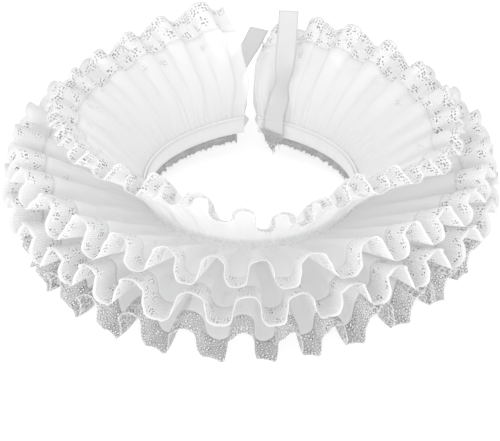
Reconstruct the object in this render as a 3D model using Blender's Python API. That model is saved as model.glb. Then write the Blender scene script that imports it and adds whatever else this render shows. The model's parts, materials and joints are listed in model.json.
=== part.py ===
"""Lace ruff collar.

Four gathered organza frills, each with a scalloped lace edging, are sewn one above
another round a neck band. The ring is open at the back and closes with two ribbon ties.

Metres, +Z up. The collar stands on the plane z = 0 on the troughs of its lowest frill.
The neck hole is centred on the Z axis, the opening is at the back, +Y, and -Y is the front.
A turn is an angle round the neck in degrees, 0 at the back and 90 at +X.
A share is a place on a frill, 0 at the neck band and 1 at the lace edge.
"""

import math
from collections import namedtuple

import bmesh
import bpy
from mathutils import Matrix, Vector

MM = 0.001

# Round the neck, and the walls of the cloth
NECK_RADIUS = 69.0 * MM
TAPE_WALL = 1.0 * MM
BAND_WALL = 1.2 * MM
ORGANZA_WALL = 1.2 * MM
LACE_WALL = 1.4 * MM
SEAM_GAP = 0.3 * MM
BAND_RADIUS = NECK_RADIUS + TAPE_WALL + SEAM_GAP

# A frill runs from ROOT_GAP outside the band, and its last quarter is lace. Every second
# point of the lace edge is drawn in by LACE_SCALLOP, a share of the depth
ROOT_GAP = 1.1 * MM
FRILL_DEPTH = 92.0 * MM
LACE_START = 0.76
LACE_SCALLOP = 0.036

# Heights above the surface that the collar stands on, and where the heading starts and
# ends, in degrees of turn from the middle of the back
BAND_FOOT = 18.8 * MM
BAND_TOP = 31.2 * MM
TAPE_MARGIN = 0.6 * MM
HEADING_DEPTH = 6.2 * MM
HEADING_START = 8.0

# The band rises towards its two ends at the back, over that many degrees of turn
END_LIFT = 5.0 * MM
END_LIFT_TURN = 50.0

# Waves round each frill, closer together at the front, and how far a crest overhangs
WAVES = 28
FRONT_CROWDING = 2.0
POINTS_PER_WAVE = 6
WAVE_LEAN = 2.6 * MM

# Two neighbouring frills' waves together fill at most this share of the room between them
MOST_OF_ROOM = 0.84

# How some waves are wider or higher than others: that comes round a number of times, set
# off by the frill's phase, by an amount in radians of phase or a share of the height
Variation = namedtuple("Variation", "times offset amount")
WIDTH_VARIATIONS = (Variation(5, 6, 0.55), Variation(9, -11, 0.30))
HEIGHT_VARIATIONS = (Variation(5, 3, 0.14), Variation(11, 7, 0.10))

# Gathers of the heading, and flat faces round the band and tape
HEADING_GATHERS = 80
HEADING_FOLD = 1.3 * MM
RING_COLUMNS = 60

# Ribbons
RIBBON_WIDTH = 14.0 * MM
RIBBON_WALL = 1.0 * MM

# How steeply each frill rises from the band, in degrees, and the top and bottom frills'
# reach as a share of the full depth, at turns round the neck
Stance = namedtuple("Stance", "turn top second third bottom top_reach bottom_reach")
STANCES = (
    Stance(5, 25, 12.5, 5.5, -7.4, 0.84, 0.95),
    Stance(13, 29, 15, 6, -7.4, 0.86, 0.95),
    Stance(24, 38, 20, 8, -7.4, 0.90, 0.95),
    Stance(65, 31, 15.5, 6, -7.4, 0.87, 0.93),
    Stance(100, 36, 20, 8, -7.4, 0.88, 0.92),
    Stance(148, 52, 27, 14, -7.4, 0.91, 0.90),
    Stance(172, 44, 26, 13, -7.4, 0.92, 0.93),
    Stance(205, 53, 27, 12, -7.4, 0.95, 0.94),
    Stance(250, 49, 24, 9, -7.4, 0.93, 0.92),
    Stance(300, 36, 15.5, 6, -7.4, 0.86, 0.92),
    Stance(356, 51, 23, 8, -7.4, 0.94, 0.96),
)

# A frill: where it leaves the band, its wave height at the lace, the wave's phase at the
# front in waves, how far its profile curls between band and lace, the share at which the
# waves reach full height, and the shares of its rows
Frill = namedtuple("Frill", "name root wave phase curl full organza_rows lace_rows")
FRILLS = (
    Frill("top", 29.4 * MM, 6.4 * MM, 0.72, 14, 1.0, (0, 0.25, 0.5, LACE_START), (1,)),
    Frill("second", 26.0 * MM, 10.0 * MM, 0.29, 0, 1.0, (0, LACE_START), (1,)),
    Frill("third", 23.2 * MM, 10.6 * MM, 0.87, 0, 1.0, (0, LACE_START), (1,)),
    Frill("bottom", 20.4 * MM, 14.0 * MM, 0.70, 0, 0.88, (0, LACE_START), (0.88, 1)),
)

# How far the frills' right-hand and left-hand ends stay from the middle of the back, in
# degrees of turn, at shares of the depth, and the turn over which that dies away
Opening = namedtuple("Opening", "share right left")
OPENINGS = (
    Opening(0.0, 3.9, 3.9),
    Opening(0.28, 1.2, 1.2),
    Opening(0.6, 1.8, 4.4),
    Opening(1.0, 3.8, 9.6),
)
OPENING_FADE = 90.0

# A tie's centreline: radius, turn and height, and the ribbon's twist from level, in degrees
TiePoint = namedtuple("TiePoint", "radius turn height twist")
RIGHT_TIE = (
    TiePoint(67.8 * MM, 13.5, 24.2 * MM, 0),
    TiePoint(67.8 * MM, 13.5, 36.0 * MM, 0),
    TiePoint(72.8 * MM, 13.5, 39.8 * MM, 0),
    TiePoint(78.5 * MM, 14.3, 45.8 * MM, 25),
    TiePoint(84.4 * MM, 14.8, 54.2 * MM, 62),
    TiePoint(90.1 * MM, 14.8, 62.9 * MM, 40),
    TiePoint(97.6 * MM, 14.4, 74.0 * MM, 10),
    TiePoint(106.2 * MM, 13.8, 85.0 * MM, 0),
    TiePoint(115.8 * MM, 13.1, 95.8 * MM, 0),
)
LEFT_TIE = (
    TiePoint(75.3 * MM, 348.0, 33.6 * MM, 0),
    TiePoint(88.0 * MM, 350.5, 46.0 * MM, 0),
    TiePoint(102.0 * MM, 353.5, 53.0 * MM, 0),
    TiePoint(117.0 * MM, 357.0, 55.5 * MM, 0),
    TiePoint(133.0 * MM, 360.0, 57.0 * MM, 0),
    TiePoint(152.0 * MM, 362.3, 59.5 * MM, 0),
)

# The torn net corner at the right-hand end of the tape: turn, radius and height
CornerPoint = namedtuple("CornerPoint", "turn radius height")
NET_CORNER = (
    CornerPoint(5.0, 66.6 * MM, 29.5 * MM),
    CornerPoint(20.5, 66.6 * MM, 23.0 * MM),
    CornerPoint(13.0, 62.5 * MM, 14.0 * MM),
)
NET_WALL = 1.0 * MM

# Finish: base colour, roughness
ORGANZA = ("organza", (0.90, 0.90, 0.91, 1.0), 0.45)
LACE = ("lace", (0.84, 0.84, 0.85, 1.0), 0.70)
SATIN = ("satin ribbon", (0.86, 0.86, 0.87, 1.0), 0.30)
COTTON = ("cotton tape", (0.80, 0.80, 0.81, 1.0), 0.80)


def clear_scene():
    for obj in list(bpy.data.objects):
        bpy.data.objects.remove(obj, do_unlink=True)


def finish(spec):
    """The material of that finish, made once."""
    name, colour, roughness = spec
    found = bpy.data.materials.get(name)
    if found:
        return found
    material = bpy.data.materials.new(name)
    material.use_nodes = True
    shader = material.node_tree.nodes["Principled BSDF"]
    shader.inputs["Base Color"].default_value = colour
    shader.inputs["Roughness"].default_value = roughness
    shader.inputs["Metallic"].default_value = 0.0
    material.diffuse_color = colour
    return material


def eased(rows, place, key, value, period=None):
    """A smooth value between a table's rows, which repeat after period where one is given."""
    if period:
        place = (place - getattr(rows[0], key)) % period + getattr(rows[0], key)
    last = rows[-1]
    for here, after in zip(rows, rows[1:] + rows[:1]):
        start, end = getattr(here, key), getattr(after, key)
        if here is last:
            if not period:
                break
            end += period
        if start <= place <= end:
            t = (place - start) / (end - start)
            t = t * t * (3 - 2 * t)
            return getattr(here, value) * (1 - t) + getattr(after, value) * t
    return getattr(last if place > 0 else rows[0], value)


def round_neck(radius, turn, height):
    """A point at that turn round the neck's axis."""
    angle = math.radians(turn)
    return Vector((radius * math.sin(angle), radius * math.cos(angle), height))


def stance(turn, value):
    return eased(STANCES, turn, "turn", value, period=360)


def true_turn(turn, share):
    """Parts the frill's two ends at the back, where a nominal turn would join them."""
    right = eased(OPENINGS, min(share, 1.0), "share", "right")
    left = eased(OPENINGS, min(share, 1.0), "share", "left")
    right *= max(1 - turn / OPENING_FADE, 0) ** 2
    left *= max(1 - (360 - turn) / OPENING_FADE, 0) ** 2
    return turn + right - left


def end_lift(place):
    """How far the band is raised at a true turn."""
    from_back = min(place % 360, -place % 360)
    return END_LIFT * max(1 - from_back / END_LIFT_TURN, 0) ** 2


def varied(variations, frill, angle):
    return sum(v.amount * math.sin(v.times * angle + v.offset * frill.phase) for v in variations)


def unevenness(frill, angle):
    """What makes one wave of a frill wider than the next, in radians of phase."""
    return FRONT_CROWDING * math.sin(angle - math.pi) + varied(WIDTH_VARIATIONS, frill, angle)


def wave_phase(frill, turn):
    angle = math.radians(turn)
    return 2 * math.pi * frill.phase + WAVES * (angle - math.pi) + unevenness(frill, angle)


def turn_of_phase(frill, phase):
    """The turn at which a frill's wave has that phase."""
    angle = math.pi
    for _ in range(12):
        angle = math.pi + (phase - 2 * math.pi * frill.phase - unevenness(frill, angle)) / WAVES
    return math.degrees(angle)


def room_between(lower, upper, turn):
    """How far apart two neighbouring frills are at their lace edges."""
    rise = stance(turn, upper.name) - stance(turn, lower.name)
    return upper.root - lower.root + FRILL_DEPTH * math.sin(math.radians(rise))


def wave_height(frill, turn):
    """A frill's wave at its lace edge, uneven, and kept clear of the frills beside it."""
    height = frill.wave * (1 + varied(HEIGHT_VARIATIONS, frill, math.radians(turn)))
    for upper, lower in zip(FRILLS, FRILLS[1:]):
        if frill in (upper, lower):
            own_part = frill.wave / (upper.wave + lower.wave)
            height = min(height, MOST_OF_ROOM * own_part * room_between(lower, upper, turn))
    return height


def reach(frill, turn):
    if frill.name == "top":
        return FRILL_DEPTH * stance(turn, "top_reach")
    if frill.name == "bottom":
        return FRILL_DEPTH * stance(turn, "bottom_reach")
    return FRILL_DEPTH


def profile_point(frill, place, share, out, lean=0.0):
    """A point out above a frill's unwaved surface, at a true turn. The surface bends from
    rise + curl at the band to rise - curl at the lace."""
    rise = math.radians(stance(place, frill.name))
    curl = math.radians(frill.curl)
    steps = 8
    step = reach(frill, place) * share / steps
    radius = BAND_RADIUS + BAND_WALL + ROOT_GAP
    height = frill.root + end_lift(place) * (1 - share)
    for i in range(steps):
        slope = rise + curl * (1 - 2 * share * (i + 0.5) / steps)
        radius += step * math.cos(slope)
        height += step * math.sin(slope)
    slope = rise + curl * (1 - 2 * share)
    radius -= out * math.sin(slope)
    height += out * math.cos(slope)
    return round_neck(radius, place + math.degrees(lean / radius), height)


def frill_point(frill, turn, share):
    """A point on a frill's waved middle surface, with crests leaning over the troughs."""
    place = true_turn(turn, share)
    phase = wave_phase(frill, turn)
    grown = min(share / frill.full, 1.0)
    out = wave_height(frill, place) * grown * math.cos(phase)
    lean = WAVE_LEAN * grown * math.sin(2 * phase)
    return profile_point(frill, place, share, out, lean)


def frill_normal(frill, turn, share):
    """The middle surface's normal, upwards, from points close by."""
    near_turn, near_share = 0.15, 0.01
    along = frill_point(frill, turn + near_turn, share) - frill_point(frill, turn - near_turn, share)
    outwards = frill_point(frill, turn, share + near_share) - frill_point(frill, turn, max(share - near_share, 0))
    return outwards.cross(along).normalized() * -1


def frill_turns(frill):
    """The turns of a frill's columns: evenly spread over each wave, and both ends."""
    turns = [0.0]
    step = 2 * math.pi / POINTS_PER_WAVE
    first = math.ceil(wave_phase(frill, 0.0) / step)
    last = math.floor(wave_phase(frill, 360.0) / step)
    for i in range(first, last + 1):
        turn = turn_of_phase(frill, (i + 0.5) * step)
        if turns[-1] + 1.0 < turn < 359.0:
            turns.append(turn)
    turns.append(360.0)
    return turns


def solid(name, lower, upper, spec):
    """A closed wall between two grids of points, each a list of columns of rows."""
    mesh = bpy.data.meshes.new(name)
    bm = bmesh.new()
    low = [[bm.verts.new(p) for p in column] for column in lower]
    high = [[bm.verts.new(p) for p in column] for column in upper]
    rows = len(low[0])
    for i in range(len(low) - 1):
        j = i + 1
        for k in range(rows - 1):
            bm.faces.new((low[i][k], low[i][k + 1], low[j][k + 1], low[j][k]))
            bm.faces.new((high[i][k], high[j][k], high[j][k + 1], high[i][k + 1]))
        bm.faces.new((low[i][0], low[j][0], high[j][0], high[i][0]))
        bm.faces.new((low[i][-1], high[i][-1], high[j][-1], low[j][-1]))
    for end in (0, -1):
        for k in range(rows - 1):
            bm.faces.new((low[end][k], high[end][k], high[end][k + 1], low[end][k + 1]))
    bmesh.ops.recalc_face_normals(bm, faces=bm.faces)
    bm.to_mesh(mesh)
    bm.free()
    mesh.shade_smooth()
    mesh.set_sharp_from_angle(angle=math.radians(40))
    mesh.materials.append(finish(spec))
    obj = bpy.data.objects.new(name, mesh)
    bpy.context.scene.collection.objects.link(obj)
    return obj


def frill_wall(name, frill, shares, wall, spec, scallops=False):
    """The wall of one frill between shares. A trough that would go through the surface that
    the collar stands on lies flat on it instead."""
    lower, upper = [], []
    for i, turn in enumerate(frill_turns(frill)):
        low_column, high_column = [], []
        for share in shares:
            if scallops and share == shares[-1] and i % 2:
                share -= LACE_SCALLOP
            middle = frill_point(frill, turn, share)
            normal = frill_normal(frill, turn, share)
            if middle.z < wall * 0.6:
                middle.z = wall / 2
                normal = Vector((0, 0, 1))
            low_column.append(middle - normal * wall / 2)
            high_column.append(middle + normal * wall / 2)
        lower.append(low_column)
        upper.append(high_column)
    return solid(name, lower, upper, spec)


def build_frill(frill):
    """The organza panel and, 0.3 mm beyond it, the lace edging."""
    seam = LACE_START + SEAM_GAP / FRILL_DEPTH
    frill_wall("organza_" + frill.name, frill, frill.organza_rows, ORGANZA_WALL, ORGANZA)
    frill_wall("lace_" + frill.name, frill, (seam, *frill.lace_rows), LACE_WALL, LACE, scallops=True)


def ring_wall(name, radius, wall, foot, top, spec):
    """An upright strip round the neck, open at the back."""
    half = OPENINGS[0].right
    inner, outer = [], []
    for i in range(RING_COLUMNS + 1):
        place = half + (360 - 2 * half) * i / RING_COLUMNS
        heights = (foot + end_lift(place), top + end_lift(place))
        inner.append([round_neck(radius, place, height) for height in heights])
        outer.append([round_neck(radius + wall, place, height) for height in heights])
    return solid(name, inner, outer, spec)


def build_band():
    """The band that the frills are sewn to, and the ribbon tape that covers it inside."""
    ring_wall("neck_tape", NECK_RADIUS, TAPE_WALL, BAND_FOOT + TAPE_MARGIN, BAND_TOP - TAPE_MARGIN, SATIN)
    ring_wall("neck_band", BAND_RADIUS, BAND_WALL, BAND_FOOT, BAND_TOP, COTTON)


def build_heading():
    """The gathered raw edges that stand below the band, as one zigzag of small folds."""
    middle = NECK_RADIUS + TAPE_WALL + BAND_WALL / 2
    columns = 2 * HEADING_GATHERS
    inner, outer = [], []
    for i in range(columns + 1):
        place = HEADING_START + (360 - 2 * HEADING_START) * i / columns
        side = 1 if i % 2 else -1
        top = BAND_FOOT - SEAM_GAP + end_lift(place)
        inner_column, outer_column = [], []
        for height, fold in ((top - HEADING_DEPTH, HEADING_FOLD), (top, HEADING_FOLD / 3)):
            radius = middle + side * fold
            inner_column.append(round_neck(radius - ORGANZA_WALL / 2, place, height))
            outer_column.append(round_neck(radius + ORGANZA_WALL / 2, place, height))
        inner.append(inner_column)
        outer.append(outer_column)
    return solid("gathered_heading", inner, outer, ORGANZA)


def place_of(point):
    """A table row with radius, turn and height as a place in space."""
    return round_neck(point.radius, point.turn, point.height)


def build_tie(name, points):
    """A ribbon along a table of points, level from side to side where it has no twist."""
    path = [place_of(point) for point in points]
    lower, upper = [], []
    for i, point in enumerate(points):
        angle = math.radians(point.turn)
        along = (path[min(i + 1, len(path) - 1)] - path[max(i - 1, 0)]).normalized()
        level = Vector((math.cos(angle), -math.sin(angle), 0))
        level = (level - along * level.dot(along)).normalized()
        across = Matrix.Rotation(math.radians(point.twist), 3, along) @ level
        normal = across.cross(along)
        edges = [path[i] - across * RIBBON_WIDTH / 2, path[i] + across * RIBBON_WIDTH / 2]
        lower.append([p - normal * RIBBON_WALL / 2 for p in edges])
        upper.append([p + normal * RIBBON_WALL / 2 for p in edges])
    return solid(name, lower, upper, SATIN)


def build_net_corner():
    """A torn three-cornered bit of net that droops inwards from the end of the tape."""
    corners = [place_of(point) for point in NET_CORNER]
    normal = (corners[1] - corners[0]).cross(corners[2] - corners[0]).normalized()
    mesh = bpy.data.meshes.new("net_corner")
    bm = bmesh.new()
    low = [bm.verts.new(p - normal * NET_WALL / 2) for p in corners]
    high = [bm.verts.new(p + normal * NET_WALL / 2) for p in corners]
    bm.faces.new(low)
    bm.faces.new(high)
    for i in range(3):
        j = (i + 1) % 3
        bm.faces.new((low[i], low[j], high[j], high[i]))
    bmesh.ops.recalc_face_normals(bm, faces=bm.faces)
    bm.to_mesh(mesh)
    bm.free()
    mesh.materials.append(finish(ORGANZA))
    bpy.context.scene.collection.objects.link(bpy.data.objects.new("net_corner", mesh))


def centre_on_origin():
    """Moves every piece alike, so that the footprint's middle is the origin."""
    points = [v.co for obj in bpy.data.objects for v in obj.data.vertices]
    middle_x = (min(p.x for p in points) + max(p.x for p in points)) / 2
    middle_y = (min(p.y for p in points) + max(p.y for p in points)) / 2
    for obj in bpy.data.objects:
        obj.location = (-middle_x, -middle_y, 0)


def main():
    clear_scene()
    build_band()
    build_heading()
    for frill in FRILLS:
        build_frill(frill)
    build_tie("tie_right", RIGHT_TIE)
    build_tie("tie_left", LEFT_TIE)
    build_net_corner()
    centre_on_origin()


main()
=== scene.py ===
# %% [markdown]
# # A lace ruff collar
#
# Four gathered frills of white organza, each with a scalloped lace edging, stand one above
# another round a neck band. The ring is open at the back and ties with two ribbons.
#
# The collar's solids come in as a fixed frame. Each of them is a thick, plain wall, and this
# script makes the thin cloth that stands for it: the same waved surface, worked out from the
# same sizes, with gathers, creases, scallops, threads and stitches added.

# %% Start from the frame
import json
import math
from collections import namedtuple

import bpy
import numpy as np
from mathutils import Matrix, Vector

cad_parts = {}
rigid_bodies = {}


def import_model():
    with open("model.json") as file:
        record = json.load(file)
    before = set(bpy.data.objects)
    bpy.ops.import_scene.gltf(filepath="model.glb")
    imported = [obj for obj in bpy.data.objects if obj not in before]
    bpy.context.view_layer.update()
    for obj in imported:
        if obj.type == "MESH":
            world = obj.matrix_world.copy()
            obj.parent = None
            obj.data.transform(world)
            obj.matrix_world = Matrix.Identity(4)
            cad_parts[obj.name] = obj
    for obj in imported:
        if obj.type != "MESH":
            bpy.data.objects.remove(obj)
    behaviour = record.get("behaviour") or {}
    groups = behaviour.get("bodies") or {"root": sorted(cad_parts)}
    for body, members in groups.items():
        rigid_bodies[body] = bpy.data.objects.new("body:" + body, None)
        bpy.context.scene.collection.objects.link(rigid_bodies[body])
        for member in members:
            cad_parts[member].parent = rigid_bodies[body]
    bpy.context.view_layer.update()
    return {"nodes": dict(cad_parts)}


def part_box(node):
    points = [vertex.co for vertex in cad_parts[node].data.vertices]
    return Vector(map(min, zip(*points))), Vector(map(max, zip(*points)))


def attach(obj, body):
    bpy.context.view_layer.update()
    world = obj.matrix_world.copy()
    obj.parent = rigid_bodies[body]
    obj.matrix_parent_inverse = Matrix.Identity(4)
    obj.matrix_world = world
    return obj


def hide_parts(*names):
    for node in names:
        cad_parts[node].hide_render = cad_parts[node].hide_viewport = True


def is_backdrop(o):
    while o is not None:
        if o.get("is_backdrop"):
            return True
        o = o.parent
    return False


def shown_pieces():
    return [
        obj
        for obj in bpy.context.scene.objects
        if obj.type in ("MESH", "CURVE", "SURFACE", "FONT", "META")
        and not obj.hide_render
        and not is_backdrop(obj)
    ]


for start_up_object in list(bpy.data.objects):
    bpy.data.objects.remove(start_up_object, do_unlink=True)

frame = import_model()
MM = 0.001
print("solids:", len(frame["nodes"]))

# %% [markdown]
# ## The collar's sizes
#
# These are the sizes that the solids were made from. A turn is an angle round the neck in
# degrees, 0 at the back and 90 at +X. A share is a place on a frill, 0 at the neck band and
# 1 at the lace edge.

# %% Sizes of the band, the frills and the ribbons
NECK_RADIUS = 69.0 * MM
TAPE_WALL = 1.0 * MM
BAND_WALL = 1.2 * MM
BAND_RADIUS = NECK_RADIUS + TAPE_WALL + 0.3 * MM
ROOT_RADIUS = BAND_RADIUS + BAND_WALL + 1.1 * MM
FRILL_DEPTH = 92.0 * MM
LACE_START = 0.76
LACE_SCALLOP = 0.036
BAND_FOOT = 18.8 * MM
BAND_TOP = 31.2 * MM
TAPE_MARGIN = 0.6 * MM
TAPE_WIDTH = BAND_TOP - BAND_FOOT - 2 * TAPE_MARGIN
HEADING_DEPTH = 6.2 * MM
HEADING_START = 8.0
HEADING_GATHERS = 80
END_LIFT = 5.0 * MM
END_LIFT_TURN = 50.0
WAVES = 28
FRONT_CROWDING = 2.0
WAVE_LEAN = 2.6 * MM
MOST_OF_ROOM = 0.84
RIBBON_WIDTH = 14.0 * MM

Variation = namedtuple("Variation", "times offset amount")
WIDTH_VARIATIONS = (Variation(5, 6, 0.55), Variation(9, -11, 0.30))
HEIGHT_VARIATIONS = (Variation(5, 3, 0.14), Variation(11, 7, 0.10))

Stance = namedtuple("Stance", "turn top second third bottom top_reach bottom_reach")
STANCES = (
    Stance(5, 25, 12.5, 5.5, -7.4, 0.84, 0.95),
    Stance(13, 29, 15, 6, -7.4, 0.86, 0.95),
    Stance(24, 38, 20, 8, -7.4, 0.90, 0.95),
    Stance(65, 31, 15.5, 6, -7.4, 0.87, 0.93),
    Stance(100, 36, 20, 8, -7.4, 0.88, 0.92),
    Stance(148, 52, 27, 14, -7.4, 0.91, 0.90),
    Stance(172, 44, 26, 13, -7.4, 0.92, 0.93),
    Stance(205, 53, 27, 12, -7.4, 0.95, 0.94),
    Stance(250, 49, 24, 9, -7.4, 0.93, 0.92),
    Stance(300, 36, 15.5, 6, -7.4, 0.86, 0.92),
    Stance(356, 51, 23, 8, -7.4, 0.94, 0.96),
)

Frill = namedtuple("Frill", "name root wave phase curl full")
FRILLS = (
    Frill("top", 29.4 * MM, 6.4 * MM, 0.72, 14, 1.0),
    Frill("second", 26.0 * MM, 10.0 * MM, 0.29, 0, 1.0),
    Frill("third", 23.2 * MM, 10.6 * MM, 0.87, 0, 1.0),
    Frill("bottom", 20.4 * MM, 14.0 * MM, 0.70, 0, 0.88),
)

Opening = namedtuple("Opening", "share right left")
OPENINGS = (
    Opening(0.0, 3.9, 3.9),
    Opening(0.28, 1.2, 1.2),
    Opening(0.6, 1.8, 4.4),
    Opening(1.0, 3.8, 9.6),
)
OPENING_FADE = 90.0

# %% [markdown]
# ## The waved surface of a frill
#
# A gathered strip of cloth leaves the band in even gathers, which run together into deep
# waves at the free edge. That follows a rule, so a formula gives the place of any point from
# its turn and its share. It is written for whole arrays of points, because a frill has some
# fifteen thousand of them.

# %% Values that ease from one row of a table to the next
def eased(rows, place, key, value, period=None):
    """A smooth value between a table's rows, for an array of places."""
    keys = [getattr(row, key) for row in rows]
    values = [getattr(row, value) for row in rows]
    place = np.asarray(place, float)
    if period:
        keys.append(keys[0] + period)
        values.append(values[0])
        place = (place - keys[0]) % period + keys[0]
    keys, values = np.array(keys, float), np.array(values, float)
    place = np.clip(place, keys[0], keys[-1])
    after = np.clip(np.searchsorted(keys, place), 1, len(keys) - 1)
    t = (place - keys[after - 1]) / (keys[after] - keys[after - 1])
    t = t * t * (3 - 2 * t)
    return values[after - 1] * (1 - t) + values[after] * t


def stance(turn, value):
    return eased(STANCES, turn, "turn", value, period=360)


# The solids were moved a little, so that the footprint's middle is the origin
low_corner, high_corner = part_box("neck_tape")
MOVED = np.array((
    (low_corner.x + high_corner.x) / 2,
    low_corner.y + NECK_RADIUS + TAPE_WALL,
    0.0,
))
print("the neck's axis is at", [round(v / MM, 3) for v in MOVED], "mm")


def round_neck(radius, turn, height):
    """Points at those turns round the neck's axis."""
    angle = np.radians(turn)
    x, y, z = np.broadcast_arrays(radius * np.sin(angle), radius * np.cos(angle), height)
    return np.stack((x, y, z), axis=-1) + MOVED


# %% Where a frill's waves are
def true_turn(turn, share):
    """Parts the frill's two ends at the back, where a nominal turn would join them."""
    right = eased(OPENINGS, share, "share", "right") * np.maximum(1 - turn / OPENING_FADE, 0) ** 2
    left = eased(OPENINGS, share, "share", "left") * np.maximum(1 - (360 - turn) / OPENING_FADE, 0) ** 2
    return turn + right - left


def end_lift(place):
    """How far the band is raised near its two ends."""
    from_back = np.minimum(place % 360, -place % 360)
    return END_LIFT * np.maximum(1 - from_back / END_LIFT_TURN, 0) ** 2


def varied(variations, frill, angle):
    return sum(v.amount * np.sin(v.times * angle + v.offset * frill.phase) for v in variations)


def wave_phase(frill, turn):
    """The phase of a frill's wave, in radians, uneven from one wave to the next."""
    angle = np.radians(turn)
    uneven = FRONT_CROWDING * np.sin(angle - math.pi) + varied(WIDTH_VARIATIONS, frill, angle)
    return 2 * math.pi * frill.phase + WAVES * (angle - math.pi) + uneven


def room_between(lower, upper, turn):
    rise = stance(turn, upper.name) - stance(turn, lower.name)
    return upper.root - lower.root + FRILL_DEPTH * np.sin(np.radians(rise))


def wave_height(frill, turn):
    """A frill's wave at its lace edge, kept clear of the frills beside it."""
    height = frill.wave * (1 + varied(HEIGHT_VARIATIONS, frill, np.radians(turn)))
    for upper, lower in zip(FRILLS, FRILLS[1:]):
        if frill in (upper, lower):
            own_part = frill.wave / (upper.wave + lower.wave)
            height = np.minimum(height, MOST_OF_ROOM * own_part * room_between(lower, upper, turn))
    return height


# %% Points on a frill's middle surface
def reach(frill, turn):
    if frill.name in ("top", "bottom"):
        return FRILL_DEPTH * stance(turn, frill.name + "_reach")
    return FRILL_DEPTH * np.ones(np.shape(turn))


def frill_points(frill, turn, share):
    """The frill bends from rise + curl at the band to rise - curl at the lace, and its waves
    stand on that, with crests that lean over the troughs."""
    place = true_turn(turn, share)
    phase = wave_phase(frill, turn)
    grown = np.minimum(share / frill.full, 1.0)
    out = wave_height(frill, place) * grown * np.cos(phase)
    lean = WAVE_LEAN * grown * np.sin(2 * phase)
    rise = np.radians(stance(place, frill.name))
    curl = math.radians(frill.curl)
    steps = 8
    step = reach(frill, place) * share / steps
    radius = ROOT_RADIUS
    height = frill.root + end_lift(place) * (1 - share)
    for i in range(steps):
        slope = rise + curl * (1 - 2 * share * (i + 0.5) / steps)
        radius = radius + step * np.cos(slope)
        height = height + step * np.sin(slope)
    slope = rise + curl * (1 - 2 * share)
    radius = radius - out * np.sin(slope)
    height = height + out * np.cos(slope)
    return round_neck(radius, place + np.degrees(lean / radius), height)


# %% [markdown]
# ## Gathers, creases and cockles
#
# On the real collar the waves are not bare. At the band the cloth is drawn up into fine
# gathers, longer on some stretches than on others. Starched organza also keeps creases where
# it was pressed and packed, and the lace cockles a little along its edge. The gathers and
# cockles are sums of sines. Each crease is listed as a soft trough or ridge, with a
# start, an end, a drift to the side, a depth and a width.

# %% Gathers at the band
GATHERS = 4 * WAVES
Gather = namedtuple("Gather", "depth shift")
GATHER_SIZES = {
    "top": Gather(0.9 * MM, 0.2 * MM),
    "second": Gather(0.8 * MM, 0.0),
    "third": Gather(0.8 * MM, 0.0),
    "bottom": Gather(1.2 * MM, -0.6 * MM),
}
SHORTEST_GATHER = 0.16
LONGEST_GATHER = 0.52
COCKLE_DEPTH = 0.40 * MM


def gathers(frill, turn, share):
    """Fine folds that fade away from the band, every one with its own length. The bottom
    frill has room for deeper ones, on the side away from its neighbour."""
    angle = np.radians(turn)
    seed = 9 * frill.phase
    length = 0.5 + 0.3 * np.sin(7 * angle + seed) + 0.2 * np.sin(17 * angle - 2 * seed)
    length = SHORTEST_GATHER + (LONGEST_GATHER - SHORTEST_GATHER) * length
    fade = np.clip(1 - share / length, 0, 1) ** 1.3 * (1 + 3.5 * share)
    wander = 1.3 * np.sin(5 * angle + seed) + 0.9 * np.sin(13 * angle - seed) + 2.5 * share
    fold = np.sin(GATHERS * angle + wander) + 0.35 * np.sin(0.5 * GATHERS * angle + 2 * wander)
    size = GATHER_SIZES[frill.name]
    return (size.depth * fold / 1.35 + size.shift) * fade


def cockles(frill, turn, share):
    """The lace edge's own small ripple."""
    angle = np.radians(turn)
    grown = np.clip((share - LACE_START) / (1 - LACE_START), 0, 1)
    ripple = np.sin(3 * wave_phase(frill, turn) + 1.7) + 0.6 * np.sin(191 * angle + 5 * frill.phase)
    return COCKLE_DEPTH * grown * ripple


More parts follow.
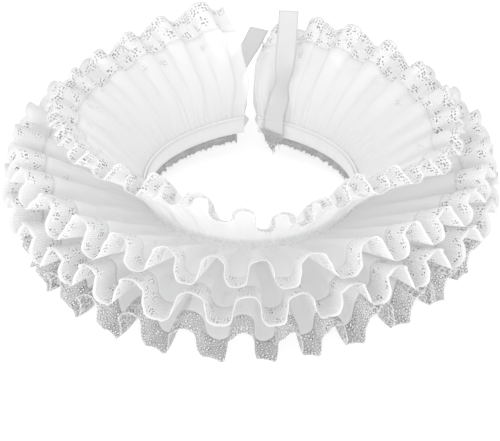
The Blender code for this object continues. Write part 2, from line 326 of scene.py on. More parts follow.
# %% Creases that were pressed in
# turn at the start, share at the start and end, drift in degrees, depth and width in mm. A
# depth below nought is a trough
Crease = namedtuple("Crease", "turn start end drift depth width")
CREASE_ROWS = {
    "top": (
        (6, 0.02, 0.45, 5, -1.6, 2.2),
        (12, 0.10, 0.62, -3, 0.9, 2.6),
        (22, 0.02, 0.38, 4, -1.0, 2.4),
        (33, 0.20, 0.80, 7, 0.8, 1.8),
        (47, 0.05, 0.50, -4, -0.7, 2.8),
        (56, 0.35, 0.95, 5, 1.0, 1.6),
        (78, 0.10, 0.55, 6, -0.8, 3.2),
        (101, 0.30, 0.90, -6, 0.9, 2.0),
        (118, 0.05, 0.60, 3, -1.1, 2.6),
        (139, 0.25, 0.95, 5, 0.8, 2.2),
        (160, 0.10, 0.50, -5, -0.9, 2.6),
        (176, 0.30, 0.85, 4, 1.0, 2.4),
        (198, 0.05, 0.70, -6, -1.2, 2.2),
        (216, 0.05, 0.85, 9, -1.8, 2.2),
        (219, 0.05, 1.00, 15, 1.9, 2.0),
        (223, 0.04, 0.90, 18, -2.1, 2.4),
        (227, 0.05, 1.05, 21, 2.0, 1.9),
        (231, 0.04, 0.80, 22, -1.8, 2.6),
        (236, 0.06, 1.00, 20, 1.4, 2.2),
        (243, 0.05, 0.70, 15, -1.2, 2.8),
        (256, 0.12, 0.90, 9, 0.8, 2.4),
        (283, 0.30, 0.85, -5, 0.8, 2.0),
        (304, 0.10, 0.50, 4, -0.8, 3.0),
        (322, 0.25, 0.75, -4, 0.7, 2.2),
        (338, 0.02, 0.42, 3, -1.0, 2.6),
        (348, 0.02, 0.66, -3, 1.2, 2.0),
        (354, 0.02, 0.55, 1, -1.5, 2.0),
    ),
    "second": (
        (18, 0.10, 0.70, 4, -1.0, 2.4),
        (49, 0.20, 0.85, -5, 0.9, 2.2),
        (84, 0.10, 0.65, 4, -1.1, 2.6),
        (116, 0.30, 0.92, 3, 0.8, 2.0),
        (143, 0.15, 0.80, -4, -1.2, 2.4),
        (169, 0.20, 0.95, 4, 1.1, 2.0),
        (187, 0.10, 0.75, -3, -1.0, 2.6),
        (207, 0.12, 0.80, 5, -1.1, 2.2),
        (212, 0.10, 0.92, 9, 1.3, 1.8),
        (217, 0.08, 0.80, 13, -1.5, 2.0),
        (222, 0.10, 0.95, 15, 1.4, 1.7),
        (228, 0.06, 0.75, 15, -1.6, 2.3),
        (235, 0.10, 0.90, 12, 1.2, 1.8),
        (243, 0.08, 0.70, 10, -1.3, 2.5),
        (255, 0.25, 0.94, 6, 1.0, 2.0),
        (279, 0.15, 0.60, -4, -0.9, 2.8),
        (316, 0.20, 0.80, 5, 0.8, 2.4),
        (343, 0.10, 0.70, -3, -1.0, 2.2),
    ),
    "third": (
        (31, 0.15, 0.80, 4, -1.0, 2.4),
        (70, 0.25, 0.85, -4, 0.9, 2.0),
        (109, 0.10, 0.70, 5, -1.2, 2.6),
        (134, 0.30, 0.95, -3, 1.0, 2.0),
        (158, 0.20, 0.88, 4, -1.1, 2.2),
        (181, 0.25, 0.95, -4, 1.2, 2.2),
        (204, 0.15, 0.80, 5, -1.0, 2.4),
        (228, 0.20, 0.96, 4, 1.0, 1.8),
        (262, 0.10, 0.75, -5, -1.2, 2.6),
        (297, 0.25, 0.85, 4, 0.8, 2.2),
        (331, 0.15, 0.70, -4, -1.0, 2.4),
    ),
    "bottom": (
        (26, 0.20, 0.85, -4, 1.0, 2.2),
        (62, 0.15, 0.75, 4, -1.1, 2.6),
        (97, 0.25, 0.90, -5, 1.0, 2.2),
        (128, 0.20, 0.95, 4, -1.2, 2.2),
        (151, 0.30, 0.98, -3, 1.1, 1.8),
        (174, 0.20, 0.90, 4, -1.0, 2.4),
        (196, 0.30, 0.98, 3, 1.2, 2.0),
        (222, 0.20, 0.90, -4, -1.2, 2.2),
        (246, 0.25, 0.96, 5, 1.0, 2.0),
        (285, 0.15, 0.80, -4, -1.0, 2.6),
        (325, 0.25, 0.85, 4, 0.9, 2.2),
    ),
}
CREASES = {
    name: [Crease(*row[:4], row[4] * MM, row[5] * MM) for row in rows]
    for name, rows in CREASE_ROWS.items()
}


def creases(frill, turn, share):
    """The sum of a frill's creases, each one soft at its sides and its two ends."""
    radius = ROOT_RADIUS + FRILL_DEPTH * share
    total = np.zeros(np.broadcast(turn, share).shape)
    for crease in CREASES[frill.name]:
        t = np.clip((share - crease.start) / (crease.end - crease.start), 0, 1)
        aside = np.radians(turn - crease.turn - crease.drift * t) * radius
        total = total + crease.depth * np.sin(math.pi * t) ** 0.8 * np.exp(-(aside / crease.width) ** 2)
    return total


print("creases placed by hand:", sum(len(rows) for rows in CREASES.values()))

# %% Points on the cloth itself
# The lowest frill's troughs lie on the surface, and round off softly into it
LOWEST_CLOTH = 0.60 * MM
FLOOR_SOFTNESS = 0.35 * MM


def above_floor(height):
    softened = np.logaddexp(0, (height - LOWEST_CLOTH) / FLOOR_SOFTNESS) * FLOOR_SOFTNESS
    return LOWEST_CLOTH + softened


def cloth_points(frill, turn, share, raised=0.0):
    """Points on a frill with all its detail, raised a little off it where that is asked."""
    near_turn, near_share = 0.15, 0.01
    middle = frill_points(frill, turn, share)
    along = frill_points(frill, turn + near_turn, share) - frill_points(frill, turn - near_turn, share)
    outwards = frill_points(frill, turn, share + near_share) - frill_points(frill, turn, share - near_share)
    normal = np.cross(along, outwards)
    normal /= np.linalg.norm(normal, axis=-1, keepdims=True)
    height = gathers(frill, turn, share) + creases(frill, turn, share) + cockles(frill, turn, share)
    points = middle + normal * (height + raised)[..., None]
    points[..., 2] = above_floor(points[..., 2])
    return points


def even_turns(frill, columns_per_wave):
    """Turns spread evenly over each wave, from one end of the frill to the other."""
    fine = np.linspace(0, 360, 7201)
    phases = wave_phase(frill, fine)
    wanted = np.linspace(phases[0], phases[-1], WAVES * columns_per_wave + 1)
    return np.interp(wanted, phases, fine)


def running_length(points):
    """How far along a line of points each one is, in metres."""
    steps = np.linalg.norm(np.diff(points, axis=0), axis=1)
    return np.concatenate(((0.0,), np.cumsum(steps)))


# %% [markdown]
# ## Materials
#
# White cloth is hardly coloured, so its look comes from how open it is. Organza lets some
# light through between its threads, net lets more, and the flowers of lace are nearly solid.
# Each material therefore works out an Alpha as well as a colour. All patterns are laid out on
# a UV map in metres, along and across the strip of cloth, so they follow every fold.
#
# The effects that several materials share are node groups with named inputs.

# %% A helper that adds and links nodes
class Nodes:
    """Adds nodes to one tree. A value given to a socket is linked or set."""

    def __init__(self, tree):
        self.tree = tree

    def add(self, kind, inputs=None, **settings):
        node = self.tree.nodes.new(kind)
        for name, value in settings.items():
            setattr(node, name, value)
        for socket, value in (inputs or {}).items():
            self.join(value, node.inputs[socket])
        return node

    def join(self, value, socket):
        if isinstance(value, bpy.types.NodeSocket):
            self.tree.links.new(value, socket)
        else:
            socket.default_value = value

    def math(self, operation, a, b=0.0, c=0.0):
        return self.add("ShaderNodeMath", {0: a, 1: b, 2: c}, operation=operation).outputs[0]

    def total(self, *values):
        total = values[0]
        for value in values[1:]:
            total = self.math("ADD", total, value)
        return total

    def product(self, *values):
        product = values[0]
        for value in values[1:]:
            product = self.math("MULTIPLY", product, value)
        return product

    def ramp(self, value, low, high, start=0.0, end=1.0):
        """A smooth step from start at low to end at high."""
        inputs = {"Value": value, "From Min": low, "From Max": high, "To Min": start, "To Max": end}
        return self.add("ShaderNodeMapRange", inputs, interpolation_type="SMOOTHSTEP").outputs[0]

    def mix(self, factor, a, b):
        node = self.add("ShaderNodeMix", {0: factor, 6: a, 7: b}, data_type="RGBA")
        return node.outputs[2]

    def between(self, factor, a, b):
        node = self.add("ShaderNodeMix", {0: factor, 2: a, 3: b}, data_type="FLOAT")
        return node.outputs[0]

    def scaled(self, vector, scale):
        node = self.add("ShaderNodeVectorMath", {0: vector, "Scale": scale}, operation="SCALE")
        return node.outputs[0]

    def parts(self, vector):
        return self.add("ShaderNodeSeparateXYZ", {0: vector}).outputs


def new_group(name, inputs, outputs):
    """A shader node group with float inputs, a vector input and float outputs."""
    group = bpy.data.node_groups.new(name, "ShaderNodeTree")
    group.interface.new_socket("Vector", in_out="INPUT", socket_type="NodeSocketVector")
    for label, value in inputs.items():
        socket = group.interface.new_socket(label, in_out="INPUT", socket_type="NodeSocketFloat")
        socket.default_value = value
    for label in outputs:
        group.interface.new_socket(label, in_out="OUTPUT", socket_type="NodeSocketFloat")
    nodes = Nodes(group)
    source = nodes.add("NodeGroupInput").outputs
    result = nodes.add("NodeGroupOutput").inputs
    return group, nodes, source, result


# %% Weave, for woven cloth
def make_weave_group():
    """Threads that pass over and under each other, with a few thicker ones."""
    group, nodes, source, result = new_group("Weave", {"Threads per mm": 4.0}, ("Height", "Slub"))
    turns_per_metre = nodes.product(source["Threads per mm"], math.pi / MM)
    x, y, _ = nodes.parts(nodes.scaled(source["Vector"], turns_per_metre))
    crossing = nodes.product(nodes.math("SINE", x), nodes.math("SINE", y))
    stretched = nodes.add("ShaderNodeMapping", {"Vector": source["Vector"], "Scale": (60, 1400, 1)})
    slub = nodes.add("ShaderNodeTexNoise", {"Vector": stretched.outputs[0], "Scale": 1.0, "Detail": 2.0})
    nodes.join(nodes.ramp(crossing, -1.0, 1.0), result["Height"])
    nodes.join(nodes.ramp(slub.outputs[0], 0.35, 0.75), result["Slub"])
    return group


# %% Net, for the ground of the lace
def make_net_group():
    """Fine round meshes, and how solid the thread is at each point."""
    group, nodes, source, result = new_group("Net", {"Mesh size in mm": 1.1, "Thread": 0.16}, ("Thread",))
    scale = nodes.math("DIVIDE", 1 / MM, source["Mesh size in mm"])
    inputs = {"Vector": source["Vector"], "Scale": scale, "Randomness": 0.35}
    cells = nodes.add("ShaderNodeTexVoronoi", inputs, feature="DISTANCE_TO_EDGE", voronoi_dimensions="2D")
    wide = nodes.product(source["Thread"], 1.7)
    nodes.join(nodes.ramp(cells.outputs["Distance"], source["Thread"], wide, 1.0, 0.0), result["Thread"])
    return group


# %% Eyelets, the small round holes of the lace
def make_eyelet_group():
    """Round holes of uneven spacing, and a ring round each of them, which the materials paint dark as painted
    shade.
    """
    sizes = {"Spacing in mm": 1.7, "Hole": 0.10, "Ring": 0.17}
    group, nodes, source, result = new_group("Eyelets", sizes, ("Hole", "Ring"))
    scale = nodes.math("DIVIDE", 1 / MM, source["Spacing in mm"])
    inputs = {"Vector": source["Vector"], "Scale": scale, "Randomness": 0.5}
    cells = nodes.add("ShaderNodeTexVoronoi", inputs, feature="F1", voronoi_dimensions="2D")
    distance = cells.outputs["Distance"]
    outside = nodes.total(source["Hole"], source["Ring"])
    hole = nodes.ramp(distance, nodes.product(source["Hole"], 0.8), source["Hole"], 1.0, 0.0)
    disc = nodes.ramp(distance, nodes.product(outside, 0.85), outside, 1.0, 0.0)
    nodes.join(hole, result["Hole"])
    nodes.join(nodes.math("SUBTRACT", disc, hole), result["Ring"])
    return group


# %% Sprigs, the flowers that are scattered over lace and organza
def make_sprig_group():
    """A plain five-petalled flower in some of the cells of a staggered layout, each turned
    and shifted by its own random amount."""
    sizes = {"Pitch in mm": 13.0, "Size in mm": 4.2, "Share of cells": 0.7, "Seed": 0.0}
    group, nodes, source, result = new_group("Sprigs", sizes, ("Petals", "Outline", "Heart"))
    scale = nodes.math("DIVIDE", 1 / MM, source["Pitch in mm"])
    x, y, _ = nodes.parts(nodes.scaled(source["Vector"], scale))
    row = nodes.math("FLOOR", y)
    x = nodes.total(x, nodes.product(nodes.math("MODULO", row, 2.0), 0.5))
    column = nodes.math("FLOOR", x)
    cell = nodes.add("ShaderNodeCombineXYZ", {0: column, 1: row, 2: source["Seed"]}).outputs[0]
    chance = nodes.add("ShaderNodeTexWhiteNoise", {"Vector": cell}, noise_dimensions="3D").outputs
    red, green, blue = nodes.parts(chance["Color"])
    across = nodes.math("SUBTRACT", nodes.math("FRACT", x), nodes.math("MULTIPLY_ADD", red, 0.3, 0.35))
    along = nodes.math("SUBTRACT", nodes.math("FRACT", y), nodes.math("MULTIPLY_ADD", green, 0.3, 0.35))
    across = nodes.product(across, source["Pitch in mm"])
    along = nodes.product(along, source["Pitch in mm"])
    distance = nodes.math("SQRT", nodes.total(nodes.product(across, across), nodes.product(along, along)))
    angle = nodes.total(nodes.math("ARCTAN2", along, across), nodes.product(blue, 2 * math.pi))
    petal = nodes.math("MULTIPLY_ADD", nodes.math("COSINE", nodes.product(angle, 5.0)), 0.26, 0.74)
    inside = nodes.math("SUBTRACT", distance, nodes.product(petal, source["Size in mm"]))
    shown = nodes.math("LESS_THAN", chance["Value"], source["Share of cells"])
    petals = nodes.product(shown, nodes.ramp(inside, -0.15, 0.15, 1.0, 0.0))
    outline = nodes.product(shown, nodes.ramp(nodes.math("ABSOLUTE", inside), 0.2, 0.5, 1.0, 0.0))
    heart = nodes.product(shown, nodes.ramp(distance, 0.7, 1.0, 1.0, 0.0))
    nodes.join(petals, result["Petals"])
    nodes.join(outline, result["Outline"])
    nodes.join(heart, result["Heart"])
    return group


GROUPS = {
    "weave": make_weave_group(),
    "net": make_net_group(),
    "eyelets": make_eyelet_group(),
    "sprigs": make_sprig_group(),
}
print("shared node groups:", sorted(GROUPS))


# %% [markdown]
# ### Organza, satin and cotton
#
# Organza is a sheer, crisp weave. A thin wall has two sides, and each side stops most of the
# light, so little of what lies behind shows through. Satin ribbon has the same weave with
# long floats, hence a smoother and brighter face. The cotton band is dull and thick.
#
# Each frill has an organza with a tone of its own, darker on the lower frills: painted shade
# for the shade that falls between and under them.

# %% Woven materials
def shading_of(material):
    """What a material is worked on with: its nodes, its shader and its UV map."""
    nodes = Nodes(material.node_tree)
    shader = material.node_tree.nodes["Principled BSDF"]
    uv = nodes.add("ShaderNodeUVMap", uv_map="cloth").outputs[0]
    return nodes, shader, uv


def new_material(name):
    material = bpy.data.materials.new(name)
    material.use_nodes = True
    nodes, shader, uv = shading_of(material)
    shader.inputs["Metallic"].default_value = 0.0
    return material, nodes, shader, uv


def group_of(nodes, name, uv, **values):
    """A shared group in a material, with the values that this material gives it."""
    node = nodes.add("ShaderNodeGroup", node_tree=GROUPS[name])
    nodes.join(uv, node.inputs["Vector"])
    for label, value in values.items():
        node.inputs[label.replace("_", " ")].default_value = value
    return node.outputs


def grey(value):
    return (value, value, value * 1.004, 1.0)


def bumped(nodes, shader, height, distance, strength=0.6):
    inputs = {"Height": height, "Distance": distance, "Strength": strength}
    nodes.join(nodes.add("ShaderNodeBump", inputs).outputs[0], shader.inputs["Normal"])


def woven_material(
    name, tone, threads, alpha, roughness, sheen, bump, darkest=0.955, cloud_size=22 * MM
):
    """Plain woven cloth, uneven in tone and in how open it is. darkest is the share of its
    tone that is left in its darkest clouds."""
    material, nodes, shader, uv = new_material(name)
    weave = group_of(nodes, "weave", uv, Threads_per_mm=threads)
    cloud = nodes.add("ShaderNodeTexNoise", {"Vector": uv, "Scale": 1 / cloud_size, "Detail": 3.0}).outputs[0]
    tone_here = nodes.total(nodes.product(weave["Slub"], 0.4), nodes.product(cloud, 0.6))
    nodes.join(nodes.mix(tone_here, grey(tone * darkest), grey(tone)), shader.inputs["Base Color"])
    nodes.join(nodes.ramp(weave["Height"], 0.0, 1.0, alpha - 0.08, alpha), shader.inputs["Alpha"])
    nodes.join(nodes.ramp(cloud, 0.3, 0.7, roughness - 0.06, roughness + 0.06), shader.inputs["Roughness"])
    shader.inputs["Sheen Weight"].default_value = sheen
    shader.inputs["Sheen Roughness"].default_value = 0.4
    bumped(nodes, shader, weave["Height"], bump)
    return material


SPRIGS_START = 34 * MM
SPRIGS_FULL = 52 * MM
# The sprigs' eyelet rings are painted nearly black: painted shade for the shadow in and round each hole.
SPRIG_EYELET_SHADE_TONE = 0.06


def sprigged_organza(name, tone, alpha):
    """Organza with a few small openwork sprigs, thickest near the lace, their eyelet rings painted dark as
    painted shade.
    """
    material = woven_material(name, tone, 4.0, alpha, 0.5, 0.25, 0.04 * MM)
    nodes, shader, uv = shading_of(material)
    depth = nodes.parts(uv)[1]
    sprigs = group_of(nodes, "sprigs", uv, Pitch_in_mm=21.0, Size_in_mm=3.4, Share_of_cells=0.55, Seed=3.0)
    eyelets = group_of(nodes, "eyelets", uv, Spacing_in_mm=1.6, Hole=0.06, Ring=0.2)
    near_lace = nodes.ramp(depth, SPRIGS_START, SPRIGS_FULL)
    flower = nodes.product(sprigs["Petals"], near_lace)
    plain_colour = shader.inputs["Base Color"].links[0].from_socket
    plain_alpha = shader.inputs["Alpha"].links[0].from_socket
    ring = nodes.product(flower, eyelets["Ring"])
    # Painted shade: the eyelet rings within the sprigs.
    nodes.join(nodes.mix(ring, plain_colour, grey(SPRIG_EYELET_SHADE_TONE)), shader.inputs["Base Color"])
    hole = nodes.product(flower, eyelets["Hole"])
    nodes.join(nodes.between(hole, plain_alpha, 0.15), shader.inputs["Alpha"])
    return material


def satin_material(name, tone, width, edge_tone):
    """Ribbon with a smooth face and a firm, duller woven edge at each side."""
    material = woven_material(name, tone, 9.0, 1.0, 0.34, 0.15, 0.015 * MM)
    nodes, shader, uv = shading_of(material)
    middle = nodes.math("ABSOLUTE", nodes.math("SUBTRACT", nodes.parts(uv)[1], width / 2))
    selvedge = nodes.ramp(middle, width / 2 - 0.9 * MM, width / 2 - 0.35 * MM)
    plain_colour = shader.inputs["Base Color"].links[0].from_socket
    nodes.join(nodes.mix(selvedge, plain_colour, grey(edge_tone)), shader.inputs["Base Color"])
    return material


# Painted shade: the organza tones darken frill by frill towards the bottom.
ORGANZAS = {
    "top": sprigged_organza("organza", 0.915, 0.55),
    "second": sprigged_organza("organza_second", 0.90, 0.55),
    "third": sprigged_organza("organza_third", 0.80, 0.55),
    "bottom": sprigged_organza("organza_bottom", 0.58, 0.55),
}
SATIN = satin_material("satin_ribbon", 0.53, RIBBON_WIDTH, 0.38)
TAPE = satin_material("satin_tape", 0.70, TAPE_WIDTH, 0.66)
COTTON = woven_material("cotton_band", 0.88, 2.2, 1.0, 0.85, 0.2, 0.06 * MM)
# The raw organza's low tone is painted shade, for the shade under the band and in the neck, mottled in small
# clouds at random.
SHADED_RAW_ORGANZA = woven_material("raw_organza", 0.42, 3.0, 0.90, 0.8, 0.1, 0.06 * MM, 0.12, 3 * MM)
THREAD = woven_material("thread", 0.70, 6.0, 1.0, 0.6, 0.3, 0.02 * MM)

# %% [markdown]
# ### Lace
#
# Each edging is a fine net with denser flowers. Round and in the flowers are eyelets, whose
# rings are painted nearly black: painted shade, for the shadow seen in and round each hole.
# The two middle frills have a plain narrow border instead of an open edge, and the lowest one
# is the most open, with a row of larger eyelets along its points. The lower frills' lace is
# darker, as painted shade. So one function makes the lace, with four settings.

# %% Lace materials
# tone is the lace's colour, darker on the lower frills as painted shade. flowers is the share
# of places with a flower, eyelets how thickly they are scattered, and spacing, hole and ring
# their sizes. border is its width. edge_row and ground say how much of the row along the edge
# and of the bare net is pierced
Lace = namedtuple("Lace", "name tone flowers spacing eyelets hole ring border edge_row ground")
NET_COVER = 0.5
# The border's tone is painted shade, dimming the rim, which catches more light than the cloth under the frill
# above.
BORDER_SHADE_TONE = 0.64
# The eyelet rings' tone is painted shade, for the shadow in and round each hole.
EYELET_SHADE_TONE = 0.03
EYELET_ROW = 3.0 * MM
ROW_FULL_TO = 1.9 * MM
ROW_ENDS_AT = 2.3 * MM


def lace_material(lace):
    """Along the edging x is the length and y the distance in from the scalloped edge."""
    material, nodes, shader, uv = new_material(lace.name)
    _, inwards, _ = nodes.parts(uv)
    net = group_of(nodes, "net", uv, Mesh_size_in_mm=1.1, Thread=0.13)["Thread"]
    sprigs = group_of(nodes, "sprigs", uv, Pitch_in_mm=10.5, Size_in_mm=4.3, Share_of_cells=lace.flowers)
    eyelets = group_of(nodes, "eyelets", uv, Spacing_in_mm=lace.spacing, Hole=lace.hole, Ring=lace.ring)
    flower = sprigs["Petals"]
    past_border = nodes.ramp(inwards, lace.border, lace.border + 0.6 * MM)
    from_row = nodes.math("ABSOLUTE", nodes.math("SUBTRACT", inwards, EYELET_ROW))
    row = nodes.ramp(from_row, ROW_FULL_TO, ROW_ENDS_AT, 1.0, 0.0)
    pierced = nodes.math("MAXIMUM", nodes.product(flower, past_border), nodes.product(row, lace.edge_row))
    pierced = nodes.math("MAXIMUM", pierced, lace.ground)
    scatter = nodes.add("ShaderNodeTexNoise", {"Vector": uv, "Scale": 210.0, "Detail": 1.0}).outputs[0]
    lowered = 0.25 * lace.eyelets
    pierced = nodes.product(pierced, nodes.ramp(scatter, 0.44 - lowered, 0.60 - lowered))
    ring = nodes.product(pierced, eyelets["Ring"])
    hole = nodes.product(pierced, eyelets["Hole"])
    stem = nodes.math("MAXIMUM", sprigs["Outline"], sprigs["Heart"])
    solid_part = nodes.math("MAXIMUM", nodes.math("MAXIMUM", net, stem), nodes.product(flower, 0.75))
    solid_part = nodes.math("MAXIMUM", solid_part, nodes.math("SUBTRACT", 1.0, past_border))
    tone = nodes.mix(solid_part, grey(lace.tone * 0.88), grey(lace.tone))
    # Painted shade: the border along the edge is dimmed.
    tone = nodes.mix(nodes.math("SUBTRACT", 1.0, past_border), tone, grey(BORDER_SHADE_TONE))
    # Painted shade: the eyelets' rings are painted nearly black.
    nodes.join(nodes.mix(ring, tone, grey(EYELET_SHADE_TONE)), shader.inputs["Base Color"])
    cover = nodes.ramp(solid_part, 0.0, 1.0, NET_COVER, 0.97)
    nodes.join(nodes.between(hole, cover, 0.0), shader.inputs["Alpha"])
    shader.inputs["Roughness"].default_value = 0.75
    shader.inputs["Sheen Weight"].default_value = 0.2
    height = nodes.total(nodes.product(net, 0.4), nodes.product(stem, 0.9), nodes.product(flower, 0.3))
    bumped(nodes, shader, height, 0.12 * MM)
    return material


# Painted shade: the lace tones darken frill by frill towards the bottom.
LACE_KINDS = {
    "top": Lace(
        "fine_lace", tone=0.81, flowers=0.85, spacing=2.1, eyelets=0.7,
        hole=0.06, ring=0.30, border=0.1 * MM, edge_row=0.7, ground=0.0,
    ),
    "second": Lace(
        "bordered_lace", tone=0.79, flowers=0.75, spacing=2.0, eyelets=0.6,
        hole=0.07, ring=0.28, border=2.2 * MM, edge_row=0.0, ground=0.0,
    ),
    "third": Lace(
        "bordered_lace_low", tone=0.68, flowers=0.75, spacing=2.1, eyelets=0.7,
        hole=0.08, ring=0.27, border=2.4 * MM, edge_row=0.0, ground=0.1,
    ),
    "bottom": Lace(
        "open_lace", tone=0.44, flowers=0.95, spacing=2.9, eyelets=0.7,
        hole=0.27, ring=0.20, border=0.1 * MM, edge_row=1.0, ground=0.7,
    ),
}
LACES = {place: lace_material(lace) for place, lace in LACE_KINDS.items()}
print("materials:", len(bpy.data.materials))

# %% [markdown]
# ## Cloth as thin shells
#
# A strip of cloth is a grid of points with a UV map in metres. Solidify then gives it a thin
# wall with closed edges.

# %% A shell over a grid of points
ORGANZA_THICKNESS = 0.25 * MM
LACE_THICKNESS = 0.22 * MM
LACE_RAISED = (ORGANZA_THICKNESS + LACE_THICKNESS) / 2 + 0.02 * MM


def as_plain_mesh(piece):
    """Replaces a piece's modifiers with the mesh that they make."""
    bpy.context.view_layer.update()
    finished = piece.evaluated_get(bpy.context.evaluated_depsgraph_get())
    mesh = bpy.data.meshes.new_from_object(finished)
    piece.modifiers.clear()
    piece.data = mesh
    return piece


def shell(name, points, along, across, material, thickness):
    """A closed thin wall over points, columns by rows. along and across give each point's
    place on the flat strip, in metres."""
    columns, rows = points.shape[:2]
    index = np.arange(columns * rows).reshape(columns, rows)
    corners = (index[:-1, :-1], index[1:, :-1], index[1:, 1:], index[:-1, 1:])
    faces = np.stack(corners, axis=-1).reshape(-1, 4)
    mesh = bpy.data.meshes.new(name)
    mesh.from_pydata(points.reshape(-1, 3).tolist(), [], faces.tolist())
    flat = np.stack(np.broadcast_arrays(along, across), axis=-1).reshape(-1, 2)
    uv = mesh.uv_layers.new(name="cloth")
    uv.uv.foreach_set("vector", flat[faces.ravel()].ravel())
    mesh.materials.append(material)
    piece = bpy.data.objects.new(name, mesh)
    bpy.context.scene.collection.objects.link(piece)
    wall = piece.modifiers.new("wall", "SOLIDIFY")
    wall.thickness = thickness
    wall.offset = 0.0
    as_plain_mesh(piece)
    piece.data.shade_smooth()
    return piece


# %% [markdown]
# ### The frills
#
# An organza panel runs from the band to the lace. The lace laps over it by a millimetre and
# ends in three points to a wave. In the UV map of the lace, y is the distance in from that
# scalloped edge, so borders and rows of eyelets can follow it.

# %% Organza panels
COLUMNS_PER_WAVE = 24
LAP = 0.8 * MM


def organza_rows():
    """Shares of the rows, closer together at the band, where the gathers are finest."""
    t = np.linspace(0, 1, 20)
    return LACE_START * (0.55 * t + 0.45 * t * t)


def build_organza(frill):
    turns = even_turns(frill, COLUMNS_PER_WAVE)
    turn, share = np.meshgrid(turns, organza_rows(), indexing="ij")
    points = cloth_points(frill, turn, share)
    along = running_length(points[:, -1])
    across = share * reach(frill, turn)
    material = ORGANZAS[frill.name]
    piece = shell("frill_" + frill.name, points, along[:, None], across, material, ORGANZA_THICKNESS)
    return piece, along[-1], float(across.max())


# %% Lace edgings
DEEPER_POINTS = 1.3


def edge_share(frill, turn):
    """The share at which the lace ends: three points to a wave. On the lowest frill they are
    deeper and sharp, with one in the middle of each trough."""
    swing = 0.5 * 3 * wave_phase(frill, turn)
    if frill.name == "bottom":
        return 1 - DEEPER_POINTS * LACE_SCALLOP * np.abs(np.sin(swing - math.pi / 4))
    return 1 - LACE_SCALLOP * (1 - np.abs(np.cos(swing)) ** 0.7)


def build_lace(frill):
    turns = even_turns(frill, COLUMNS_PER_WAVE + 6)
    end = edge_share(frill, turns)
    start = LACE_START - LAP / FRILL_DEPTH
    t = np.linspace(0, 1, 10)
    share = start + (end - start)[:, None] * t
    turn = np.repeat(turns[:, None], len(t), axis=1)
    points = cloth_points(frill, turn, share, LACE_RAISED)
    along = running_length(points[:, 5])
    inwards = (end[:, None] - share) * reach(frill, turn)
    piece = shell("edging_" + frill.name, points, along[:, None], inwards, LACES[frill.name], LACE_THICKNESS)
    return piece, along[-1], float(inwards.max())


organza, laces = {}, {}
for frill in FRILLS:
    organza[frill.name] = build_organza(frill)
    laces[frill.name] = build_lace(frill)
    lengths = [round(part[frill.name][1], 3) for part in (organza, laces)]
    print(frill.name, "organza and lace are", lengths, "m long")

# %% [markdown]
# ## Threads and stitches
#
# Everything here is thread that follows a line on the cloth: the cord and the picots of a
# lace edge, the flower outlines, the seam between lace and organza. The line is worked out on
# the frill's own surface, and Geometry Nodes turn it into thread or repeat a small shape
# along it. Each tree takes its sizes from named inputs.

# %% Lines as meshes, and running a tree on one
def line_mesh(name, lines, closed=False, **vectors):
    """A mesh of edges along lines of points, with a vector for each point where given."""
    points = np.concatenate(lines)
    edges = []
    first = 0
    for line in lines:
        count = len(line)
        edges += [(first + i, first + i + 1) for i in range(count - 1)]
        if closed:
            edges.append((first + count - 1, first))
        first += count
    mesh = bpy.data.meshes.new(name)
    mesh.from_pydata(points.tolist(), edges, [])
    for label, values in vectors.items():
        attribute = mesh.attributes.new(label, "FLOAT_VECTOR", "POINT")
        attribute.data.foreach_set("vector", np.concatenate(values).ravel())
    return mesh


def new_tree(name, inputs):
    tree = bpy.data.node_groups.new(name, "GeometryNodeTree")
    tree.interface.new_socket("Path", in_out="INPUT", socket_type="NodeSocketGeometry")
    for label, kind in inputs.items():
        tree.interface.new_socket(label, in_out="INPUT", socket_type="NodeSocket" + kind)
    tree.interface.new_socket("Thread", in_out="OUTPUT", socket_type="NodeSocketGeometry")
    nodes = Nodes(tree)
    source = nodes.add("NodeGroupInput").outputs
    result = nodes.add("NodeGroupOutput").inputs
    return tree, nodes, source, result


def finish_tree(nodes, shape, material, result):
    """Every tree ends in plain faces with a material."""
    smooth = nodes.add("GeometryNodeSetShadeSmooth", {"Geometry": shape}).outputs[0]
    real = nodes.add("GeometryNodeRealizeInstances", {"Geometry": smooth}).outputs[0]
    dressed = nodes.add("GeometryNodeSetMaterial", {"Geometry": real, "Material": material})
    nodes.join(dressed.outputs[0], result["Thread"])


def made_by(tree, name, mesh, **values):
    """The piece that a tree makes from a mesh of lines, with its inputs given by name."""
    piece = bpy.data.objects.new(name, mesh)
    bpy.context.scene.collection.objects.link(piece)
    modifier = piece.modifiers.new(tree.name, "NODES")
    modifier.node_group = tree
    for item in tree.interface.items_tree:
        label = item.name.replace(" ", "_")
        if item.in_out == "INPUT" and label in values:
            modifier[item.identifier] = values[label]
    return as_plain_mesh(piece)


# %% A tree for thread along a line
def round_thread(nodes, curve, radius, sides):
    profile = nodes.add("GeometryNodeCurvePrimitiveCircle", {"Resolution": sides, "Radius": radius})
    inputs = {"Curve": curve, "Profile Curve": profile.outputs[0], "Fill Caps": True}
    return nodes.add("GeometryNodeCurveToMesh", inputs).outputs[0]


def make_thread_tree():
    inputs = {"Radius": "Float", "Sides": "Int", "Material": "Material"}
    tree, nodes, source, result = new_tree("Thread along a line", inputs)
    curve = nodes.add("GeometryNodeMeshToCurve", {"Mesh": source["Path"]}).outputs[0]
    shape = round_thread(nodes, curve, source["Radius"], source["Sides"])
    finish_tree(nodes, shape, source["Material"], result)
    return tree


def spots_along(nodes, source):
    """Points at even distances along the tree's line."""
    curve = nodes.add("GeometryNodeMeshToCurve", {"Mesh": source["Path"]}).outputs[0]
    inputs = {"Curve": curve, "Length": source["Spacing"]}
    return nodes.add("GeometryNodeCurveToPoints", inputs, mode="LENGTH")


